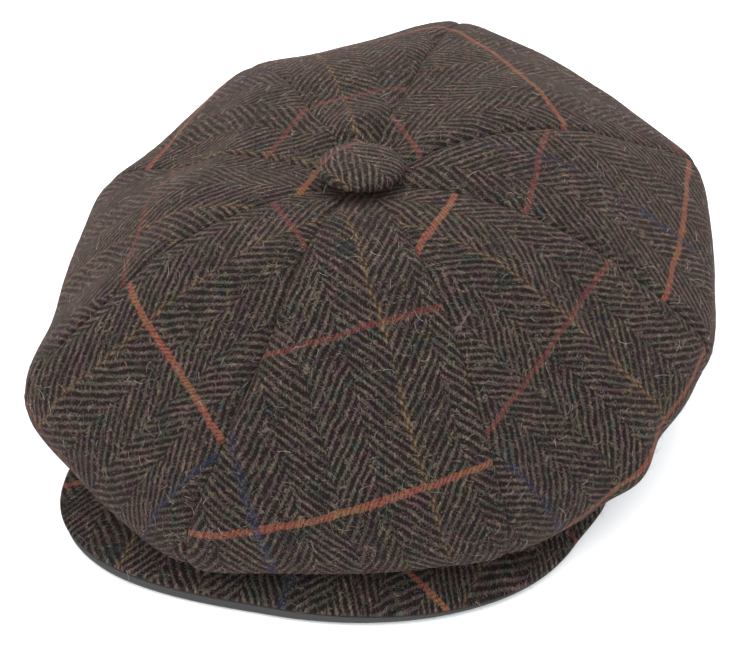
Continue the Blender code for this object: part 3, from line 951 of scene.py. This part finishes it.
peak = {
    "columns": 170,
    "rows": 34,
    "reach": 0.0365,          # how far it stands out ahead of the band
    "flare": 0.017,           # and beside it
    "setback": 0.062,
    "skew": 0.015,            # the front edge runs further out on the right
    "cornerSpan": (0.35, 0.60),    # spans along each half of the edge: start and length
    "cornerRight": 0.0020,    # the right corner is cut back, the left one fuller
    "cornerLeft": -0.0016,
    "forwardSpan": (0.10, 0.90),
    "forwardLeft": 0.0078,
    "endSpan": (0.60, 0.40),
    "endRight": 0.0045,       # the right end stands further out
    "endWidth": 0.006,
    "sideways": -0.0035,
    "rootHeight": 0.015,
    "arch": 0.0015,
    "underThickness": 0.0030,
    "lipHidden": -0.0012,     # how far the facing shows past the tweed, from left to right
    "lipLeft": 0.0011,
    "lipRight": -0.0006,
    "lipStart": (0.13, 0.18), # where it comes out at the left, and goes in at the right
    "lipEnd": (0.42, 0.36),
    "thinEnds": 0.30,         # the share of its thickness that is left at both ends
    "widest": 0.78,
    "halfTurn": math.radians(64.0),
    "waveHeight": 0.0004,
    "waveLength": 0.024,
    "grain": -18.0,           # direction of the weft, seen from above
    "bow": -2.3,              # how the cloth bends round the stiff peak
    "bowMiddle": -0.002,
    "shiftU": 0.0361,
    "shiftV": 0.0254,
}


def peakRoot(side):
    turn = side * peak["halfTurn"]
    x = (halfWidth + head["gap"]) * np.sin(turn)
    y = -(halfLength + head["gap"]) * np.cos(turn)
    return np.stack((x, y, np.full_like(x, peak["rootHeight"])), -1)


def peakEdge(side):
    # a wide front arc, and two short arcs back to the band
    share = np.abs(side)
    widest, front = halfWidth + peak["flare"], halfLength + peak["reach"]
    end = peakRoot(np.array(1.0)) + ahead(np.array(peak["halfTurn"])) * peak["endWidth"]
    swing = np.pi / 2.0 * share / peak["widest"]
    turnBack = np.pi / 2.0 * (share - peak["widest"]) / (1.0 - peak["widest"])
    isFront = share < peak["widest"]
    out = np.where(isFront, widest * np.sin(swing), blend(end[0], widest, np.cos(turnBack)))
    back = np.where(
        isFront,
        peak["setback"] * (1.0 - np.cos(swing)) - front,
        blend(peak["setback"] - front, end[1], np.sin(turnBack)),
    )
    back = back - peak["skew"] * side * (1.0 - share ** 2) ** 3
    onRight = side > 0.0
    corner = np.where(onRight, peak["cornerRight"], peak["cornerLeft"])
    out = out - corner * swell(share, *peak["cornerSpan"]) ** 2
    back = back - np.where(onRight, 0.0, peak["forwardLeft"]) * swell(share, *peak["forwardSpan"]) ** 1.5
    out = out + np.where(onRight, peak["endRight"], 0.0) * swell(share, *peak["endSpan"]) ** 2
    out = np.copysign(out, side) + peak["sideways"] * (1.0 - share ** 6)
    edge = np.stack((out, back, np.full_like(out, peak["rootHeight"])), -1)
    nearness = np.maximum(1.0 - lengthOf(edge - peakRoot(side)) / peak["reach"], 0.0)
    edge[..., 2] -= (peak["rootHeight"] - crown["restHeight"]) * (1.0 - nearness ** 2)
    return edge


def peakPoint(across, along, lip, drop):
    side = 2.0 * across - 1.0
    root, edge = peakRoot(side), peakEdge(side)
    point = blend(root, edge, along[..., None]) + unit(edge - root) * lip[..., None]
    point[..., 2] += peak["arch"] * np.sin(np.pi * along) - drop
    return point + bandMiddle * (1.0, 1.0, 0.0)


def peakSection(thickness, top):
    # along, lip and drop of the section: out over the top, round the edge, back below
    radius = thickness / 2.0
    along = np.linspace(0.0, 1.0, peak["rows"] + 1)
    bend = np.linspace(0.0, math.pi, 9)[1:-1]
    rows = [(share, -radius * share, top) for share in along]
    rows += [(1.0, radius * (math.sin(a) - 1.0), top + radius * (1.0 - math.cos(a))) for a in bend]
    rows += [(share, -radius * share, top + thickness) for share in along[::-1]]
    return np.array(rows)


def facingShape(across):
    # lip and thickness of the facing: widest left of the middle, nearly gone at both ends
    shows, hides = easeFrom(across, *peak["lipStart"]), easeFrom(across, *peak["lipEnd"])
    lip = blend(peak["lipHidden"], blend(peak["lipLeft"], peak["lipRight"], hides), shows)
    return lip, blend(peak["thinEnds"], blend(1.0, peak["thinEnds"], hides), shows)


def coverShape(across):
    return np.zeros_like(across), np.ones_like(across)


def makePeakLayer(name, node, section, material, shape):
    even = np.linspace(0.0, 1.0, peak["columns"] + 1)
    across, along = np.meshgrid(even, section[:, 0], indexing="ij")
    lips, drops = (np.broadcast_to(section[:, k], across.shape) for k in (1, 2))
    lip, thin = shape(across)
    outer = np.clip(along, 0.0, 1.0)
    drops = section[0, 2] + (drops - section[0, 2]) * thin
    points = peakPoint(across, along, lips * thin + lip * outer, drops)
    wave = peak["waveHeight"] * noiseAt(points * (1.0, 1.0, 0.0), peak["waveLength"], 6)
    points[..., 2] += wave * np.sin(np.pi * outer * 0.9)
    x, y = points[..., 0] - bandMiddle[0], points[..., 1] - bandMiddle[1]
    cloth = layOut(np.stack((x, y), -1), peak["grain"], 0.0, 0.0) * (1.0, -1.0)
    cloth[..., 1] += peak["bow"] * (cloth[..., 0] - peak["bowMiddle"]) ** 2
    cloth += (peak["shiftU"], peak["shiftV"])
    piece = makeMesh(name, points, sweepFaces(*across.shape, False), cloth, material)
    addPiece(piece, node)
    return points[:, :peak["rows"] + 5].transpose(1, 0, 2)


# Button

button = {
    "diameter": 0.032,
    "rise": 0.0098,
    "skirt": 0.0040,
    "forward": 0.0014,
    "tilt": math.radians(9.0),
    "rings": 40,
    "segments": 120,
    "fullness": 2.5,          # above 2 squares its shoulders
    # radius as a share and height of the underside: the edge stands clear of the crown
    "underside": np.array([
        (0.985, 0.0034), (0.93, 0.0029), (0.80, 0.0027), (0.64, 0.0025), (0.60, 0.0010), (0.58, -0.0012),
    ]),
    "waveHeight": 0.00035,
    "waveLength": 0.009,
    "gatherHeight": 0.00035,  # small folds where the cloth turns under
    "gatherStart": 0.6,       # from this share of the rings outwards
    "gathers": 22,
    "stretch": 0.25,          # of the cloth drawn over the edge
    "grain": 45.0,
    "shiftU": 0.0168,
    "shiftV": 0.0712,
}


def buttonFaces(rings, segments):
    # a fan of faces from the top point, rings of quads, and a fan to the bottom point
    index = 1 + np.arange(rings * segments).reshape(rings, segments)
    following = np.roll(index, -1, 1)
    walls = np.stack((index[:-1], index[1:], following[1:], following[:-1]), -1).reshape(-1, 4).tolist()
    bottom = rings * segments + 1
    upper = [[0, a, b] for a, b in zip(index[0].tolist(), following[0].tolist())]
    lower = [[bottom, b, a] for a, b in zip(index[-1].tolist(), following[-1].tolist())]
    return upper + walls + lower


def makeButton():
    radius, segments, underside = button["diameter"] / 2.0, button["segments"], button["underside"]
    bend = np.linspace(0.0, math.pi / 2.0, button["rings"])[1:]
    power = 2.0 / button["fullness"]
    out = np.concatenate((radius * np.sin(bend) ** power, radius * underside[:, 0]))
    height = blend(button["skirt"], button["rise"], np.cos(bend) ** power)
    height = np.concatenate((height, underside[:, 1]))
    turn = np.linspace(0.0, math.tau, segments, endpoint=False)
    outs, turns = np.meshgrid(out, turn, indexing="ij")
    points = ahead(turns) * outs[..., None]
    points[..., 2] = height[:, None]
    gather = np.cos(button["gathers"] * turns + 2.0 * np.sin(3.0 * turns))
    plain = button["rings"] * button["gatherStart"]
    edge = np.clip((np.arange(len(out)) - plain) / (button["rings"] - plain), 0.0, 1.0)[:, None]
    points[..., :2] *= (1.0 + button["gatherHeight"] / radius * gather * edge)[..., None]
    points[..., 2] += button["waveHeight"] * noiseAt(points, button["waveLength"], 7) * (1.0 - edge)
    reach = outs * (1.0 + button["stretch"] * (outs / radius) ** 4)
    place = np.stack((np.sin(turns) * reach, -np.cos(turns) * reach), -1)
    cloth = layOut(place, button["grain"], 0.0, 0.0) * (1.0, -1.0) + (button["shiftU"], button["shiftV"])
    middle = np.array([[button["shiftU"], button["shiftV"]]])
    cloth = np.concatenate((middle, cloth.reshape(-1, 2), middle))
    ends = np.array([(0.0, 0.0, button["rise"]), (0.0, 0.0, underside[-1, 1])])
    every = np.concatenate((ends[:1], points.reshape(-1, 3), ends[1:]))
    cosine, sine = math.cos(-button["tilt"]), math.sin(-button["tilt"])
    every = every @ np.array([(1.0, 0.0, 0.0), (0.0, cosine, -sine), (0.0, sine, cosine)]).T
    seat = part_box("button")[1][2] - every[:, 2].max()
    every = every + axisPoint(np.array(seat)) - (0.0, button["forward"], 0.0)
    faces = buttonFaces(len(out), segments)
    addPiece(makeMesh("button_cloth", every, faces, cloth, buttonClothPaintedLighter), "button")
    rings = every[1:-1].reshape(len(out), segments, 3)
    return np.concatenate((rings, rings[:, :1]), 1)


surfaces.append(makeBand())
coverSection = peakSection(head["cloth"], 0.0)
surfaces.append(makePeakLayer("peak_cloth", "peak", coverSection, peakTweedPaintedLighter, coverShape))
facingSection = peakSection(peak["underThickness"], head["cloth"] + head["gap"])
makePeakLayer("peak_facing_cloth", "peak_under", facingSection, facingCloth, facingShape)
surfaces.append(makeButton())
print("band, peak and button ready")


# Loose wool fibres: stand is how steeply they rise from the cloth

fibres = {
    "wool_fuzz": {
        "count": 12000, "length": (0.0008, 0.0030), "radius": 0.000048, "segments": 2,
        "stand": (0.25, 1.1), "curl": 0.55, "seed": 11,
        "colours": (
            (0.122, 0.091, 0.074), (0.043, 0.031, 0.028), (0.188, 0.150, 0.112), (0.012, 0.010, 0.011),
        ),
    },
    "kemp_hairs": {
        "count": 3800, "length": (0.0015, 0.0062), "radius": 0.000075, "segments": 6,
        "stand": (0.02, 0.50), "curl": 0.85, "seed": 12,
        "colours": (
            (0.220, 0.180, 0.125), (0.190, 0.172, 0.150), (0.170, 0.115, 0.065), (0.110, 0.115, 0.078),
            (0.310, 0.280, 0.240), (0.100, 0.055, 0.045), (0.120, 0.100, 0.085),
        ),
    },
}


hair = {
    "rootDepth": 0.0002,      # how deep they start in the cloth
    "droop": 0.5,             # how much they bend back to it
    "jitter": 0.35,           # share of the curl that changes from step to step
    "tip": 0.45,              # thickness of the tip, as a share of the root's
    "roughness": 0.7,
}


def sampleSurfaces(grids, count, chance):
    # roots spread evenly over the cloth, with the direction straight out of it
    corners, downs, acrosses = [], [], []
    for grid in grids:
        corners.append(grid[:-1, :-1].reshape(-1, 3))
        downs.append((grid[1:, :-1] - grid[:-1, :-1]).reshape(-1, 3))
        acrosses.append((grid[:-1, 1:] - grid[:-1, :-1]).reshape(-1, 3))
    corners, downs, acrosses = (np.concatenate(part) for part in (corners, downs, acrosses))
    crosses = np.cross(downs, acrosses)
    area = lengthOf(crosses)
    picked = chance.choice(len(area), size=count, p=area / area.sum())
    share = chance.random((2, count, 1))
    roots = corners[picked] + downs[picked] * share[0] + acrosses[picked] * share[1]
    return roots, unit(crosses[picked])


def growFibres(style, chance):
    # points and directions along each fibre, and the way straight out of the cloth
    count, segments = style["count"], style["segments"]
    roots, straight = sampleSurfaces(surfaces, count, chance)
    sideways = unit(np.cross(straight, chance.normal(size=(count, 3))))
    stand = chance.uniform(*style["stand"], size=(count, 1))
    heading = unit(sideways + straight * stand)
    length = chance.uniform(*style["length"], size=(count, 1))
    turning = np.cross(straight, sideways) * chance.normal(size=(count, 1)) * style["curl"]
    turning -= straight * stand * hair["droop"]
    point = roots - straight * hair["rootDepth"]
    path, headings = [point], [heading]
    for _ in range(segments):
        point = point + heading * length / segments
        jitter = chance.normal(size=(count, 3)) * style["curl"] * hair["jitter"]
        heading = unit(heading + (turning + jitter) * 2.0 / segments)
        path.append(point)
        headings.append(heading)
    return np.stack(path, 1), np.stack(headings, 1), straight


def makeFibres(name):
    # each fibre is a thin three-sided tube
    style = fibres[name]
    chance = np.random.default_rng(style["seed"])
    count, segments = style["count"], style["segments"]
    path, headings, straight = growFibres(style, chance)
    side = unit(np.cross(headings, straight[:, None] + 0.01))
    above = np.cross(side, headings)
    taper = np.linspace(1.0, hair["tip"], segments + 1)[None, :, None] * style["radius"]
    angles = [math.tau * corner / 3.0 for corner in range(3)]
    points = np.stack([path + (side * math.cos(a) + above * math.sin(a)) * taper for a in angles], 2)
    points[..., 2] = np.maximum(points[..., 2], style["radius"])
    index = np.arange(count * (segments + 1) * 3).reshape(count, segments + 1, 3)
    following = np.roll(index, -1, 2)
    walls = np.stack((index[:, :-1], following[:, :-1], following[:, 1:], index[:, 1:]), -1)
    faces = walls.reshape(-1, 4).tolist() + index[:, 0, ::-1].tolist() + index[:, -1].tolist()
    mesh = bpy.data.meshes.new(name)
    mesh.from_pydata(points.reshape(-1, 3).tolist(), [], faces)
    tones = chance.integers(0, len(style["colours"]), size=count)
    slots = np.concatenate((np.repeat(tones, segments * 3), tones, tones))
    mesh.polygons.foreach_set("material_index", slots.astype(np.int32))
    mesh.shade_smooth()
    for number, colour in enumerate(style["colours"]):
        material, shader = newMaterial(f"{name} {number + 1}")
        fill(shader, {"Base Color": (*colour, 1.0), "Roughness": hair["roughness"]})
        mesh.materials.append(material)
    piece = addObject(name, mesh)
    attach(piece, "root")


for name in fibres:
    makeFibres(name)
print("fibres ready")


# Camera, lights and floor

view = {
    "elevation": 42.0,
    "azimuth": 3.0,           # the camera stands a little to the right
    "distance": 0.900,
    "target": (0.009, -0.026, 0.055),    # from the band's middle on the floor
    "pixelsPerMetre": 2650.0,
    "targetPixel": (370.0, 300.0),
    "imageSize": (754.0, 658.0),
    "sensor": 36.0,
    "clip": (0.01, 50.0),
}


def makeCamera():
    data = bpy.data.cameras.new("camera")
    camera = addObject("camera", data)
    up, side = math.radians(view["elevation"]), math.radians(view["azimuth"])
    forward = Vector((-math.sin(side) * math.cos(up), math.cos(side) * math.cos(up), -math.sin(up)))
    target = Vector((bandMiddle[0], bandMiddle[1], 0.0)) + Vector(view["target"])
    camera.location = target - forward * view["distance"]
    camera.rotation_euler = forward.to_track_quat("-Z", "Y").to_euler()
    width, height = view["imageSize"]
    data.sensor_width = view["sensor"]
    data.lens = view["pixelsPerMetre"] * view["distance"] * view["sensor"] / width
    data.shift_x = (width / 2.0 - view["targetPixel"][0]) / width
    data.shift_y = -(height / 2.0 - view["targetPixel"][1]) / width
    data.clip_start, data.clip_end = view["clip"]
    bpy.context.scene.camera = camera


# soft light from all round, brighter overhead, with two wide lamps
light = {
    "horizon": 0.52,
    "overhead": 2.10,
    "skyColour": (0.98, 0.99, 1.0, 1.0),
    "floorReach": 8.0,
    "floorColour": (0.94, 0.95, 0.96, 1.0),
    "floorRoughness": 0.9,
    "floorGlow": 0.14,        # a lightbox floor, so shadows stay pale
    "lampSize": 1.4,
    # name, place, power, colour
    "lamps": (
        ("key", (-0.15, 0.5, 1.7), 14.0, (1.0, 0.98, 0.95)),
        ("fill", (-0.6, -0.9, 1.3), 6.0, (0.97, 0.99, 1.0)),
    ),
}


def makeFloor():
    mesh = bpy.data.meshes.new("floor")
    reach = light["floorReach"]
    corners = [(-reach, -reach, 0), (reach, -reach, 0), (reach, reach, 0), (-reach, reach, 0)]
    mesh.from_pydata(corners, [], [(0, 1, 2, 3)])
    material, shader = newMaterial("white floor")
    fill(shader, {
        "Base Color": light["floorColour"],
        "Roughness": light["floorRoughness"],
        "Specular IOR Level": 0.0,
        "Emission Color": light["skyColour"],
        "Emission Strength": light["floorGlow"],
    })
    mesh.materials.append(material)
    addObject("floor", mesh)


def makeSky():
    world = bpy.data.worlds.new("soft light")
    world.use_nodes = True
    nodes = world.node_tree.nodes
    direction = nodes.new("ShaderNodeTexCoord").outputs["Generated"]
    rise = calc("MAXIMUM", addNode("SeparateXYZ", {0: direction})[2], 0.0)
    strength = calc("MULTIPLY_ADD", rise, light["overhead"], light["horizon"])
    fill(nodes["Background"], {"Color": light["skyColour"], "Strength": strength})
    bpy.context.scene.world = world
    bpy.context.scene.view_settings.view_transform = "Standard"


def addLamp(name, place, power, colour):
    data = bpy.data.lights.new(name, "AREA")
    data.shape = "DISK"
    data.size = light["lampSize"]
    data.energy = power
    data.color = colour
    lamp = addObject(name, data)
    lamp.location = place
    lamp.rotation_euler = (-Vector(place)).to_track_quat("-Z", "Y").to_euler()


makeCamera()
makeFloor()
makeSky()
for lamp in light["lamps"]:
    addLamp(*lamp)
print("camera, lights and floor ready")
